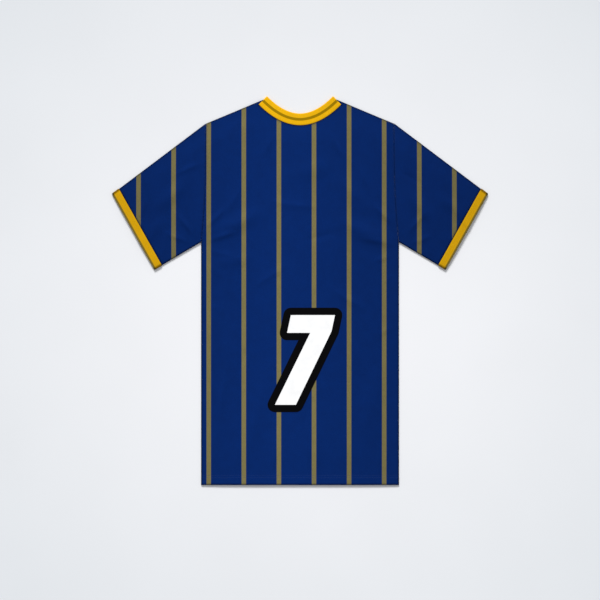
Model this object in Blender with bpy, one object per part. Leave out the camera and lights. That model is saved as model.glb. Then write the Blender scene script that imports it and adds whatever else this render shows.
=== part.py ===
# A football shirt laid flat on a table with its back upwards.
# Metres, +Z up. The neck points to +Y, and the origin lies on the table under the middle of the shirt.
# Each cut piece is a wall of cloth: front, back, two sleeves, two rib cuffs and a rib collar.

import math

import bmesh
import bpy

# Body, cut straight below the arms
LENGTH = 0.800
CHEST = 0.407
UNDERARM_Y = 0.0995
SHOULDER_X = 0.1934
SHOULDER_Y = 0.3435
SHOULDER_SLOPE = math.radians(22.65)
ARMHOLE_BEND = 3
HEM_Y = -LENGTH / 2

# Sleeves and cuffs: the right-hand side, mirrored for the left
SLEEVE_TOP = (0.3722, 0.2095)
SLEEVE_FOOT = (0.2840, 0.0523)
CUFF_TOP = (0.3868, 0.1985)
CUFF_FOOT = (0.2997, 0.0430)

# Collar: a band folded flat at the two neck points
COLLAR_WIDTH = 0.0242
NECK_HALF = 0.0766
NECK_ANGLE = math.radians(45)
BACK_DROP = 0.0377
FRONT_DROP = 0.090
FRONT_MIDDLE_HANDLE = 0.044
FRONT_FOLD_HANDLE = 0.026
COLLAR_FOLD_GAP = 0.0005

# The back of the collar hangs a little in the middle, and the back panel with it
SAG_DEPTH = 0.0014
SAG_ACROSS = 0.024
SAG_DOWN = 0.012

# Cloth
JERSEY = 0.0012
RIB = 0.0018
SEAM = 0.0003
EDGE_ROUND = 0.0004
FOLD_ROUND = 0.0010

# How the upper layer lies over the lower one
LOFT = 0.0024
LAYER = JERSEY + SEAM
HEM_OPEN = 0.35
HEM_REACH = 0.070
SHOULDER_REACH = 0.050
SIDE_BEND = 6
UNDERARM_BELOW = 0.020
UNDERARM_ABOVE = 0.055
NECK_OVAL = (0.088, 0.062)
NECK_REACH = 1.6
NECK_RISE = 0.0012
CUFF_LOFT = 0.8
CUFF_BEND = 4

# Soft ridges of the upper layer, placed by hand
# x and y of the middle, turn from +X in degrees, length, width, rise, and bend in metres a square metre
RIDGES = (
    {"x": -0.128, "y": 0.138, "turn": 24, "length": 0.170, "width": 0.015, "rise": 0.0030, "bend": 0.9},
    {"x": -0.140, "y": 0.062, "turn": 8, "length": 0.120, "width": 0.013, "rise": 0.0019, "bend": -0.8},
    {"x": 0.137, "y": 0.118, "turn": 158, "length": 0.150, "width": 0.015, "rise": 0.0034, "bend": -1.0},
    {"x": 0.112, "y": 0.196, "turn": 131, "length": 0.130, "width": 0.016, "rise": 0.0022, "bend": 0.7},
    {"x": -0.094, "y": -0.262, "turn": 83, "length": 0.240, "width": 0.018, "rise": 0.0027, "bend": 0.35},
    {"x": 0.031, "y": -0.316, "turn": 96, "length": 0.180, "width": 0.016, "rise": 0.0019, "bend": -0.5},
    {"x": 0.148, "y": -0.232, "turn": 78, "length": 0.260, "width": 0.019, "rise": 0.0029, "bend": -0.4},
    {"x": -0.158, "y": -0.104, "turn": 104, "length": 0.170, "width": 0.015, "rise": 0.0018, "bend": 0.6},
    {"x": 0.020, "y": 0.248, "turn": 12, "length": 0.150, "width": 0.018, "rise": 0.0016, "bend": -0.5},
    {"x": -0.262, "y": 0.196, "turn": 42, "length": 0.130, "width": 0.014, "rise": 0.0026, "bend": 1.0},
    {"x": -0.300, "y": 0.124, "turn": 57, "length": 0.090, "width": 0.012, "rise": 0.0018, "bend": -1.2},
    {"x": 0.248, "y": 0.171, "turn": 128, "length": 0.120, "width": 0.014, "rise": 0.0028, "bend": -1.1},
    {"x": 0.309, "y": 0.176, "turn": 145, "length": 0.090, "width": 0.012, "rise": 0.0020, "bend": 1.2},
)

# Mesh density of the two body panels, the tubes and the collar
NECK_STATIONS = 9
PANELS = {
    "front_panel": {"shoulder": 4, "below": 8, "above": 6},
    "back_panel": {"shoulder": 11, "below": 30, "above": 22},
}
SLEEVE_CELLS = {"along": 15, "across": 16}
CUFF_CELLS = {"along": 2, "across": 14}
COLLAR_FOLD_STEPS = 4

# Finishes: linear colour and roughness
JERSEY_FINISH = ((0.0033, 0.0222, 0.1384, 1.0), 0.75)
RIB_FINISH = ((0.8632, 0.4564, 0.0116, 1.0), 0.80)


def clear_scene():
    for thing in list(bpy.data.objects):
        bpy.data.objects.remove(thing, do_unlink=True)


def cloth_material(name, finish):
    material = bpy.data.materials.new(name)
    material.use_nodes = True
    shader = material.node_tree.nodes["Principled BSDF"]
    shader.inputs["Base Color"].default_value = finish[0]
    shader.inputs["Roughness"].default_value = finish[1]
    shader.inputs["Metallic"].default_value = 0.0
    return material


def add_object(name, mesh, finish):
    bmesh.ops.recalc_face_normals(mesh, faces=mesh.faces)
    data = bpy.data.meshes.new(name)
    mesh.to_mesh(data)
    mesh.free()
    data.shade_smooth()
    data.materials.append(cloth_material(name, finish))
    piece = bpy.data.objects.new(name, data)
    bpy.context.scene.collection.objects.link(piece)
    return piece


def smooth_step(low, high, value):
    share = min(1.0, max(0.0, (value - low) / (high - low)))
    return share * share * (3.0 - 2.0 * share)


def mix(a, b, share):
    return a + (b - a) * share


def mix_points(a, b, share):
    return (mix(a[0], b[0], share), mix(a[1], b[1], share))


# The cut of the body

def side_x(y):
    """Half the width of a body panel: straight at the side, then the curve of the armhole."""
    share = (SHOULDER_Y - y) / (SHOULDER_Y - UNDERARM_Y)
    share = min(1.0, max(0.0, share))
    return SHOULDER_X + (CHEST / 2 - SHOULDER_X) * share ** ARMHOLE_BEND


def shoulder_y(x):
    """Height of the shoulder line over a point across the body."""
    return SHOULDER_Y + (SHOULDER_X - abs(x)) * math.tan(SHOULDER_SLOPE)


# The collar's two centre lines, from the middle of the neck to the fold at the neck point

COLLAR_BEND = (RIB + COLLAR_FOLD_GAP) / 2
COLLAR_REACH = COLLAR_BEND + RIB / 2
NECK_OUT = (math.cos(NECK_ANGLE), math.sin(NECK_ANGLE))
NECK_ACROSS = (math.sin(NECK_ANGLE), -math.cos(NECK_ANGLE))
NECK_FOLD = (
    NECK_HALF - COLLAR_REACH * NECK_OUT[0],
    LENGTH / 2 - (COLLAR_WIDTH / 2 + COLLAR_REACH) * NECK_OUT[1],
)


def neck_line(drop, middle_handle, fold_handle):
    """Control points of half a neck line, level in the middle and square to the fold."""
    middle_y = NECK_FOLD[1] - drop
    return (
        (0.0, middle_y),
        (middle_handle, middle_y),
        (NECK_FOLD[0] - fold_handle * NECK_OUT[0], NECK_FOLD[1] - fold_handle * NECK_OUT[1]),
        NECK_FOLD,
    )


BACK_NECK = neck_line(BACK_DROP, NECK_FOLD[0] / 3, NECK_FOLD[0] / 3 / NECK_OUT[0])
FRONT_NECK = neck_line(FRONT_DROP, FRONT_MIDDLE_HANDLE, FRONT_FOLD_HANDLE)


def curve_at(line, share):
    """Point and unit direction on a cubic curve."""
    rest = 1.0 - share
    blend = 6 * rest * share
    weights = (rest ** 3, 3 * rest ** 2 * share, 3 * rest * share ** 2, share ** 3)
    slopes = (-3 * rest ** 2, 3 * rest ** 2 - blend, blend - 3 * share ** 2, 3 * share ** 2)
    point = [sum(w * p[axis] for w, p in zip(weights, line)) for axis in (0, 1)]
    slope = [sum(w * p[axis] for w, p in zip(slopes, line)) for axis in (0, 1)]
    size = math.hypot(*slope)
    return point, (slope[0] / size, slope[1] / size)


def seam_point(line, share):
    """Point of the neck seam, on the outer side of the collar band."""
    (x, y), (along_x, along_y) = curve_at(line, share)
    out = COLLAR_WIDTH / 2 + SEAM
    return (x + out * along_y, y - out * along_x)


def past_fold(across):
    """Point beside the collar's folded end, a distance across the band from its centre line."""
    out = COLLAR_REACH + SEAM
    return (
        NECK_FOLD[0] + out * NECK_OUT[0] + across * NECK_ACROSS[0],
        NECK_FOLD[1] + out * NECK_OUT[1] + across * NECK_ACROSS[1],
    )


def neck_tab():
    """The two corners where a panel runs up beside the collar's end to the shoulder line."""
    low = past_fold(COLLAR_WIDTH / 2 + SEAM)
    start = past_fold(0.0)
    fall = NECK_ACROSS[1] + math.tan(SHOULDER_SLOPE) * NECK_ACROSS[0]
    across = (shoulder_y(start[0]) - start[1]) / fall
    return low, past_fold(across)


# How high the upper layer lies over the table

def ridge_height(x, y):
    total = 0.0
    for ridge in RIDGES:
        turn = math.radians(ridge["turn"])
        away_x = x - ridge["x"]
        away_y = y - ridge["y"]
        along = away_x * math.cos(turn) + away_y * math.sin(turn)
        across = away_y * math.cos(turn) - away_x * math.sin(turn) - ridge["bend"] * along ** 2
        fade = 1.0 - smooth_step(0.0, ridge["length"] / 2, abs(along))
        total += ridge["rise"] * fade * math.exp(-(across / ridge["width"]) ** 2)
    return total


def away_from_neck(x, y):
    """Nought at the neck seam, one where the cloth lies clear of the collar."""
    oval = math.hypot(x / NECK_OVAL[0], (y - LENGTH / 2) / NECK_OVAL[1])
    return smooth_step(1.0, NECK_REACH, oval)


def body_fullness(x, y):
    """Nought where the two layers meet at a seam, one where the upper layer lies loose."""
    share = min(1.0, abs(x) / side_x(y))
    seam_side = 1.0 - smooth_step(UNDERARM_Y - UNDERARM_BELOW, UNDERARM_Y + UNDERARM_ABOVE, y)
    sides = 1.0 - seam_side * share ** SIDE_BEND
    hem = mix(HEM_OPEN, 1.0, smooth_step(0.0, HEM_REACH, y - HEM_Y))
    shoulder = smooth_step(0.0, SHOULDER_REACH, shoulder_y(x) - y)
    return sides * hem * shoulder * away_from_neck(x, y)


def body_underside(x, y):
    """Underside of the upper layer over the body."""
    seam_y = NECK_FOLD[1] - BACK_DROP - COLLAR_WIDTH / 2
    sag = SAG_DEPTH * math.exp(-(x / SAG_ACROSS) ** 2 - ((y - seam_y) / SAG_DOWN) ** 2)
    loose = body_fullness(x, y) * (LOFT + ridge_height(x, y))
    return LAYER + loose + NECK_RISE * (1.0 - away_from_neck(x, y)) - sag


def sleeve_underside(x, y, along, across):
    """Underside of a sleeve's upper layer: it follows the body at the armhole and flattens to the cuff."""
    seam_y = mix(SHOULDER_Y, UNDERARM_Y, across)
    at_armhole = body_fullness(side_x(seam_y), seam_y)
    at_cuff = CUFF_LOFT * (1.0 - (2.0 * across - 1.0) ** CUFF_BEND)
    fullness = mix(at_armhole, at_cuff, smooth_step(0.0, 1.0, along))
    return LAYER + fullness * (LOFT + ridge_height(x, y))


# Body panels

def panel_grid(line, cells):
    """Plan points of a panel, row by row from the hem, with a strip more along each shoulder."""
    low_corner, high_corner = neck_tab()
    strip = shoulder_y(low_corner[0]) - low_corner[1]
    arm_y = SHOULDER_Y - strip
    tops = [seam_point(line, step / NECK_STATIONS) for step in range(NECK_STATIONS + 1)]
    strip_tops = [None] * len(tops)
    for step in range(cells["shoulder"] + 1):
        share = step / cells["shoulder"]
        tops.append(mix_points(low_corner, (side_x(arm_y), arm_y), share))
        strip_tops.append(mix_points(high_corner, (SHOULDER_X, SHOULDER_Y), share))

    def right_half(share_up, above):
        row = []
        for top_x, top_y in tops:
            width = top_x / side_x(top_y)
            y = mix(UNDERARM_Y, top_y, share_up) if above else mix(HEM_Y, UNDERARM_Y, share_up)
            row.append((width * side_x(y), y))
        return row

    rows = [right_half(step / cells["below"], False) for step in range(cells["below"])]
    rows += [right_half(step / cells["above"], True) for step in range(cells["above"] + 1)]
    rows.append(strip_tops)
    whole = []
    for row in rows:
        left = [None if place is None else (-place[0], place[1]) for place in row[:0:-1]]
        whole.append(left + row)
    return whole


def rim_offsets(mesh):
    """Outward direction in plan at each point on the rim of a flat sheet."""
    sides = {}
    for edge in mesh.edges:
        if not edge.is_boundary:
            continue
        loop = edge.link_loops[0]
        start = loop.vert
        end = loop.link_loop_next.vert
        along = (end.co - start.co).normalized()
        for point in (start, end):
            sides.setdefault(point, []).append((along.y, -along.x))
    offsets = {}
    for point, (first, second) in sides.items():
        corner = 1.0 + first[0] * second[0] + first[1] * second[1]
        offsets[point] = ((first[0] + second[0]) / corner, (first[1] + second[1]) / corner)
    return offsets


def build_panel(name, line, underside):
    """A flat-cut wall of jersey with a rounded rim, its underside at a given height."""
    mesh = bmesh.new()
    grid = panel_grid(line, PANELS[name])
    top = {}
    for row, places in enumerate(grid):
        for column, place in enumerate(places):
            if place is not None:
                top[row, column] = mesh.verts.new((place[0], place[1], 0.0))
    for row, column in list(top):
        corners = ((row, column), (row, column + 1), (row + 1, column + 1), (row + 1, column))
        if all(corner in top for corner in corners):
            mesh.faces.new([top[corner] for corner in corners])

    offsets = rim_offsets(mesh)
    rim = [edge.link_loops[0] for edge in mesh.edges if edge.is_boundary]
    rim_pairs = [(loop.vert, loop.link_loop_next.vert) for loop in rim]
    top_faces = [list(face.verts) for face in mesh.faces]
    middle = {}
    bottom = {}
    for point in list(top.values()):
        x, y = point.co.x, point.co.y
        height = underside(x, y)
        if point in offsets:
            middle[point] = mesh.verts.new((x, y, height + JERSEY / 2))
            x -= offsets[point][0] * EDGE_ROUND
            y -= offsets[point][1] * EDGE_ROUND
        bottom[point] = mesh.verts.new((x, y, height))
        point.co = (x, y, height + JERSEY)
    for corners in top_faces:
        mesh.faces.new([bottom[point] for point in reversed(corners)])
    for start, end in rim_pairs:
        mesh.faces.new((bottom[start], bottom[end], middle[end], middle[start]))
        mesh.faces.new((middle[start], middle[end], end, start))
    return add_object(name, mesh, JERSEY_FINISH)


# Sleeves and cuffs

def build_tube(name, cells, place, underside, wall, side, finish):
    """A flattened tube of cloth: a lower layer on the table and an upper one, folded at both edges."""
    mesh = bmesh.new()
    outer_rings = []
    inner_rings = []
    for step in range(cells["along"] + 1):
        along = step / cells["along"]
        size = math.dist(place(along, 0.0), place(along, 1.0))
        for rings, inset, low in ((outer_rings, 0.0, 0.0), (inner_rings, wall, wall)):
            first = inset / size
            bend = first + FOLD_ROUND / size
            even = [count / cells["across"] for count in range(cells["across"] + 1)]
            shares = [first] + [mix(bend, 1.0 - bend, share) for share in even] + [1.0 - first]
            lower = []
            upper = []
            for share in shares:
                x, y = place(along, share)
                height = underside(x, y, along, share)
                top = height if inset else height + wall
                if share in (shares[0], shares[-1]):
                    lower.append((x, y, (low + top) / 2))
                else:
                    lower.append((x, y, low))
                    upper.append((x, y, top))
            ring = lower + upper[::-1]
            rings.append([mesh.verts.new((side * x, y, z)) for x, y, z in ring])

    def skin(rings):
        for before, after in zip(rings, rings[1:]):
            for count, point in enumerate(before):
                following = (count + 1) % len(before)
                mesh.faces.new((point, before[following], after[following], after[count]))

    skin(outer_rings)
    skin(inner_rings)
    for outer, inner in ((outer_rings[0], inner_rings[0]), (outer_rings[-1], inner_rings[-1])):
        for count, point in enumerate(outer):
            following = (count + 1) % len(outer)
            mesh.faces.new((point, outer[following], inner[following], inner[count]))
    return add_object(name, mesh, finish)


def sleeve_place(along, across):
    """Plan point of the right sleeve, from the armhole seam to the cuff seam."""
    seam_y = mix(SHOULDER_Y, UNDERARM_Y, across)
    armhole = (side_x(seam_y) + SEAM, seam_y)
    return mix_points(armhole, mix_points(SLEEVE_TOP, SLEEVE_FOOT, across), along)


def cuff_place(along, across):
    """Plan point of the right cuff, a seam's gap outside the sleeve's end."""
    inner = mix_points(SLEEVE_TOP, SLEEVE_FOOT, across)
    outer = mix_points(CUFF_TOP, CUFF_FOOT, across)
    gap = SEAM / math.dist(inner, outer)
    return mix_points(inner, outer, mix(gap, 1.0, along))


def build_sleeve(name, side):
    def underside(x, y, along, across):
        return sleeve_underside(side * x, y, along, across)

    return build_tube(name, SLEEVE_CELLS, sleeve_place, underside, JERSEY, side, JERSEY_FINISH)


def build_cuff(name, side):
    def underside(x, y, along, across):
        return RIB - JERSEY + sleeve_underside(side * x, y, 1.0, across)

    return build_tube(name, CUFF_CELLS, cuff_place, underside, RIB, side, RIB_FINISH)


# Collar

def collar_section(centre, across, thick):
    """Ring of points round the band: its width runs across, its thickness along thick."""
    half = COLLAR_WIDTH / 2
    flat = half - EDGE_ROUND
    third = half / 3
    outline = (
        (-half, 0.0), (-flat, -1.0), (-third, -1.0), (third, -1.0), (flat, -1.0),
        (half, 0.0), (flat, 1.0), (third, 1.0), (-third, 1.0), (-flat, 1.0),
    )
    ring = []
    for wide, deep in outline:
        deep *= RIB / 2
        ring.append((
            centre[0] + wide * across[0] + deep * thick[0],
            centre[1] + wide * across[1] + deep * thick[1],
            centre[2] + deep * thick[2],
        ))
    return ring


def back_collar_height(x):
    return RIB / 2 + 2 * COLLAR_BEND - SAG_DEPTH * math.exp(-(x / SAG_ACROSS) ** 2)


def collar_half(line, height, up):
    """Sections of one half of the collar, from the left fold to the right."""
    sections = []
    for step in range(-NECK_STATIONS, NECK_STATIONS + 1):
        side = -1.0 if step < 0 else 1.0
        (x, y), (along_x, along_y) = curve_at(line, abs(step) / NECK_STATIONS)
        centre = (side * x, y, height(x))
        sections.append(collar_section(centre, (side * along_y, -along_x), (0.0, 0.0, up)))
    return sections


def collar_fold(side):
    """Sections round the fold at one neck point, from the upper layer down to the lower."""
    sections = []
    for step in range(1, COLLAR_FOLD_STEPS):
        angle = math.pi * step / COLLAR_FOLD_STEPS
        reach = COLLAR_BEND * math.sin(angle)
        centre = (
            side * (NECK_FOLD[0] + reach * NECK_OUT[0]),
            NECK_FOLD[1] + reach * NECK_OUT[1],
            RIB / 2 + COLLAR_BEND * (1.0 + math.cos(angle)),
        )
        thick = (side * NECK_OUT[0] * math.sin(angle), NECK_OUT[1] * math.sin(angle), math.cos(angle))
        sections.append(collar_section(centre, (side * NECK_ACROSS[0], NECK_ACROSS[1]), thick))
    return sections


def build_collar():
    back = collar_half(BACK_NECK, back_collar_height, 1.0)
    front = collar_half(FRONT_NECK, lambda x: RIB / 2, -1.0)
    sections = back + collar_fold(1.0) + front[::-1] + collar_fold(-1.0)[::-1]
    mesh = bmesh.new()
    rings = [[mesh.verts.new(point) for point in section] for section in sections]
    for before, after in zip(rings, rings[1:] + rings[:1]):
        for count, point in enumerate(before):
            following = (count + 1) % len(before)
            mesh.faces.new((point, before[following], after[following], after[count]))
    return add_object("collar", mesh, RIB_FINISH)


clear_scene()
build_panel("front_panel", FRONT_NECK, lambda x, y: 0.0)
build_panel("back_panel", BACK_NECK, body_underside)
for hand, mirror in (("left", -1.0), ("right", 1.0)):
    build_sleeve("sleeve_" + hand, mirror)
    build_cuff("cuff_" + hand, mirror)
build_collar()
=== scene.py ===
import math
from collections import namedtuple

import bmesh
import bpy
import numpy as np
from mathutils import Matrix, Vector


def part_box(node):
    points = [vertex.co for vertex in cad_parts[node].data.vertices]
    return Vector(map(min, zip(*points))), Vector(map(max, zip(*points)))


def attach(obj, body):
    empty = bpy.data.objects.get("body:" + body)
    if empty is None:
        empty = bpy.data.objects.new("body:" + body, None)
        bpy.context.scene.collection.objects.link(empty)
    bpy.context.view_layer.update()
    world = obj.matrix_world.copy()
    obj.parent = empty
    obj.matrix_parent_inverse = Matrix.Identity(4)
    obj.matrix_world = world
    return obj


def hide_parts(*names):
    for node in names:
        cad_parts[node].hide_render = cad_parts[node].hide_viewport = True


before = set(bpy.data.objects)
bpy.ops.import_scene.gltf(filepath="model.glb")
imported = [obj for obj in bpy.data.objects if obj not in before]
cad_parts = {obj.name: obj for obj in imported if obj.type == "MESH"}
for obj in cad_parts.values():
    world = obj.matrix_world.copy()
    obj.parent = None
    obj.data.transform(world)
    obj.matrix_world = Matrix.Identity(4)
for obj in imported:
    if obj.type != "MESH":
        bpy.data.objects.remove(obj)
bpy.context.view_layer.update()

# Front panel
# The half of the body that lies on the table: navy polyester jersey with narrow gold stripes knitted in.
# Its neck is cut deeper than the back's. Its underside shows from below, and its edges from the sides.

body_low, body_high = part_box("front_panel")
HALF_LENGTH = -body_low.y
HEM_Y = body_low.y
HALF_CHEST = body_high.x
UNDERARM_Y = 0.0995
SHOULDER_X = 0.1934
SHOULDER_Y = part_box("sleeve_right")[1].y
SHOULDER_SLOPE = math.radians(22.65)
ARMHOLE_BEND = 3
WALL = 0.0012
SEAM = 0.0003
CLOTH = 0.0009
RIM_ROUND = 0.00028
SLIVER = 0.000002
CRISP = math.radians(60)

COLLAR_WIDTH = 0.0242
COLLAR_WALL = 0.0018
COLLAR_BEND = 0.00115
COLLAR_REACH = COLLAR_BEND + COLLAR_WALL / 2
NECK_HALF = 0.0766
NECK_ANGLE = math.radians(45)
NECK_OUT = np.array((math.cos(NECK_ANGLE), math.sin(NECK_ANGLE)))
NECK_ACROSS = np.array((math.sin(NECK_ANGLE), -math.cos(NECK_ANGLE)))
NECK_FOLD = np.array((NECK_HALF, HALF_LENGTH - COLLAR_WIDTH / 2 * NECK_OUT[1])) - COLLAR_REACH * NECK_OUT
BACK_DROP = 0.0377
FRONT_DROP = 0.090
FRONT_HANDLES = (0.044, 0.026)

HEM_DEPTH = 0.020
HEM_GROOVE = 0.00026
HEM_GROOVE_REACH = 0.0014
SIDE_FLAT = 0.004
TWIN_GAP = 0.0048
FRONT_CELLS = {"neck": 24, "shoulder": 20, "below": 80, "above": 44, "strip": 2, "edge": 6}
# The share of each run of cells that crowds towards its edge, so that the rolled edges stay smooth
CROWDED = {"shoulder": 0.07, "below": 0.02, "above": 0.03, "strip": 0.8}
CROWDING = 1.7
NECK_POINTS = 60
NECK_NEAR = 0.02

JERSEY_NAVY = (0.0022, 0.0195, 0.1255, 1.0)
STRIPE_GOLD = (0.2400, 0.2047, 0.0790, 1.0)
# Painted light falloff across the shirt: where it is lit most, and how fast the colour darkens sideways
LIT_MIDDLE_X = -0.050
PAINTED_LIGHT_FALL = 0.76
# Painted shade of the rolled edges along seams, hem, neck and folds: how dark at its darkest, and how far it
# reaches
PAINTED_SHADE_DARK = 0.30
PAINTED_SHADE_REACH = 0.0026
ARMHOLE_PAINTED_SHADE = 0.25
ARMHOLE_PAINTED_SHADE_START = 0.01
STRIPE_PITCH = 0.07216
STRIPE_X = 0.0289
STRIPE_WIDTH = 0.0093
STRIPE_SOFT = 0.0004
STRIPE_JAG = 0.0003
NAVY_MOTTLE = 1.25
GOLD_MOTTLE = 0.84
WALE = 0.0011
COURSE = 0.0009
LOOP_SLANT = -1.2
LOOP_SHARE = 0.3
NOISE_RANGE = (0.3, 0.7)


def mix(a, b, share):
    return a + (b - a) * share


def smooth_step(low, high, value):
    share = np.clip((value - low) / (high - low), 0.0, 1.0)
    return share * share * (3.0 - 2.0 * share)


def side_x(y):
    """Half the width of a body panel: straight at the side, then the curve of the armhole."""
    share = np.clip((SHOULDER_Y - y) / (SHOULDER_Y - UNDERARM_Y), 0.0, 1.0)
    return SHOULDER_X + (HALF_CHEST - SHOULDER_X) * share ** ARMHOLE_BEND


def shoulder_y(x):
    return SHOULDER_Y + (SHOULDER_X - np.abs(x)) * math.tan(SHOULDER_SLOPE)


def neck_line(drop, middle_handle, fold_handle):
    """Half a neck line as a cubic curve, level in the middle and square to the collar's fold."""
    middle_y = NECK_FOLD[1] - drop
    handle = NECK_FOLD - fold_handle * NECK_OUT
    return np.array(((0.0, middle_y), (middle_handle, middle_y), handle, NECK_FOLD))


BACK_NECK = neck_line(BACK_DROP, NECK_FOLD[0] / 3, NECK_FOLD[0] / 3 / NECK_OUT[0])
FRONT_NECK = neck_line(FRONT_DROP, *FRONT_HANDLES)


def curve_at(line, share):
    """Point and unit direction on a cubic curve."""
    rest = 1.0 - share
    blend = 6 * rest * share
    point = rest ** 3 * line[0] + 3 * rest ** 2 * share * line[1]
    point = point + 3 * rest * share ** 2 * line[2] + share ** 3 * line[3]
    slope = -3 * rest ** 2 * line[0] + (3 * rest ** 2 - blend) * line[1] + (blend - 3 * share ** 2) * line[2]
    slope = slope + 3 * share ** 2 * line[3]
    return point, slope / np.linalg.norm(slope)


def neck_seam(line, share, out=COLLAR_WIDTH / 2 + SEAM):
    point, along = curve_at(line, share)
    return point + out * np.array((along[1], -along[0]))


def fine_at_end(count, border, fine):
    """Shares from 0 to 1: evenly spaced, then ever closer over the last border share."""
    close = 1.0 - border * (1.0 - np.linspace(0.0, 1.0, fine + 1)) ** CROWDING
    return np.concatenate((np.linspace(0.0, 1.0 - border, count, endpoint=False), close))


def panel_plan(line, cells):
    """Plan points of a body panel, row by row from the hem, with the strips beside the collar's end last."""
    past = NECK_FOLD + (COLLAR_REACH + SEAM) * NECK_OUT
    low_corner = past + (COLLAR_WIDTH / 2 + SEAM) * NECK_ACROSS
    fall = NECK_ACROSS[1] + math.tan(SHOULDER_SLOPE) * NECK_ACROSS[0]
    high_corner = past + (shoulder_y(past[0]) - past[1]) / fall * NECK_ACROSS
    arm_y = SHOULDER_Y - (shoulder_y(low_corner[0]) - low_corner[1])
    low_arm = np.array((side_x(arm_y), arm_y))
    high_arm = np.array((SHOULDER_X, SHOULDER_Y))
    tops = [neck_seam(line, step / cells["neck"]) for step in range(cells["neck"] + 1)]
    crowded = fine_at_end(cells["shoulder"], CROWDED["shoulder"], cells["edge"])
    tops += [mix(low_corner, low_arm, share) for share in crowded]
    tops = np.array(tops)
    widths = tops[:, 0] / side_x(tops[:, 1])
    rows = []
    for share in 1.0 - fine_at_end(cells["below"], CROWDED["below"], cells["edge"])[:0:-1]:
        y = np.full(len(tops), mix(HEM_Y, UNDERARM_Y, share))
        rows.append(np.column_stack((widths * HALF_CHEST, y)))
    for share in fine_at_end(cells["above"], CROWDED["above"], cells["edge"]):
        y = mix(UNDERARM_Y, tops[:, 1], share)
        rows.append(np.column_stack((widths * side_x(y), y)))
    for share in fine_at_end(cells["strip"], CROWDED["strip"], cells["edge"])[1:]:
        start = mix(low_corner, high_corner, share)
        end = mix(low_arm, high_arm, share)
        row = np.full((len(tops), 2), np.nan)
        row[cells["neck"] + 1:] = [mix(start, end, part) for part in crowded]
        rows.append(row)
    right = np.array(rows)
    left = right[:, :0:-1] * (-1.0, 1.0)
    return np.concatenate((left, right), axis=1)


def cloth_object(name, points, painted_shade, around=False, flip=False):
    """A mesh over a grid of points, with a hole where one is missing; around closes it into a tube.
    Its third argument is the painted shade at each point, darker beside seams, edges and folds, from 0 to 1."""
    rows, columns = points.shape[:2]
    there = ~np.isnan(points[..., 0])
    index = np.full((rows, columns), -1)
    index[there] = np.arange(there.sum())
    across = index if not around else np.column_stack((index, index[:, 0]))
    corners = (across[:-1, :-1], across[:-1, 1:], across[1:, 1:], across[1:, :-1])
    quads = np.stack(corners, axis=-1).reshape(-1, 4)
    quads = quads[(quads >= 0).all(axis=1)]
    if flip:
        quads = quads[:, ::-1]
    data = bpy.data.meshes.new(name)
    data.from_pydata(points[there].tolist(), [], quads.tolist())
    data.shade_smooth()
    data.attributes.new("painted_seam_shade", "FLOAT", "POINT").data.foreach_set("value", painted_shade[there])
    piece = bpy.data.objects.new(name, data)
    bpy.context.scene.collection.objects.link(piece)
    return piece


def plain_mesh(piece):
    """Turns the piece with its modifiers into a plain mesh."""
    graph = bpy.context.evaluated_depsgraph_get()
    data = bpy.data.meshes.new_from_object(piece.evaluated_get(graph))
    piece.modifiers.clear()
    old = piece.data
    piece.data = data
    bpy.data.meshes.remove(old)
    return piece


def give_thickness(piece, thickness, rim_round=RIM_ROUND):
    """Thickens a skin inwards from its outer face and rounds its cut edges, or leaves them crisp."""
    solid = piece.modifiers.new("thickness", "SOLIDIFY")
    solid.thickness = thickness
    solid.offset = -1.0
    if rim_round:
        bevel = piece.modifiers.new("rounded_edges", "BEVEL")
        bevel.width = rim_round
        bevel.segments = 2
        bevel.limit_method = "ANGLE"
        bevel.angle_limit = CRISP
    plain_mesh(piece)
    shell = bmesh.new()
    shell.from_mesh(piece.data)
    bmesh.ops.dissolve_degenerate(shell, dist=SLIVER, edges=shell.edges)
    shell.to_mesh(piece.data)
    shell.free()
    piece.data.shade_smooth()
    piece.data.set_sharp_from_angle(angle=CRISP)
    return piece


def neck_distance(line, x, y):
    """Distance from a neck seam, on the body's side of it."""
    seam = np.array([neck_seam(line, share) for share in np.linspace(0.0, 1.0, NECK_POINTS)])
    away = np.full(x.shape, NECK_NEAR)
    near = y > seam[0, 1] - NECK_NEAR
    offsets = np.hypot(np.abs(x[near])[:, None] - seam[:, 0], y[near][:, None] - seam[:, 1])
    away[near] = np.minimum(offsets.min(axis=1), NECK_NEAR)
    return away


# Painted shade: how much of it falls at a distance from a seam or edge
def painted_shade_falloff(distance):
    return np.exp(-(distance / PAINTED_SHADE_REACH) ** 2)


def panel_painted_shade(line, x, y):
    """Painted shade beside a panel's seams, hem and neck, from 0 to 1: least at the armhole."""
    shoulder = (shoulder_y(x) - y) * math.cos(SHOULDER_SLOPE)
    at_armhole = smooth_step(UNDERARM_Y, UNDERARM_Y + ARMHOLE_PAINTED_SHADE_START, y)
    side = painted_shade_falloff(side_x(y) - np.abs(x)) * mix(1.0, ARMHOLE_PAINTED_SHADE, at_armhole)
    nearest = np.minimum(np.minimum(shoulder, y - HEM_Y), neck_distance(line, x, y))
    return np.maximum(side, painted_shade_falloff(nearest))


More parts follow.
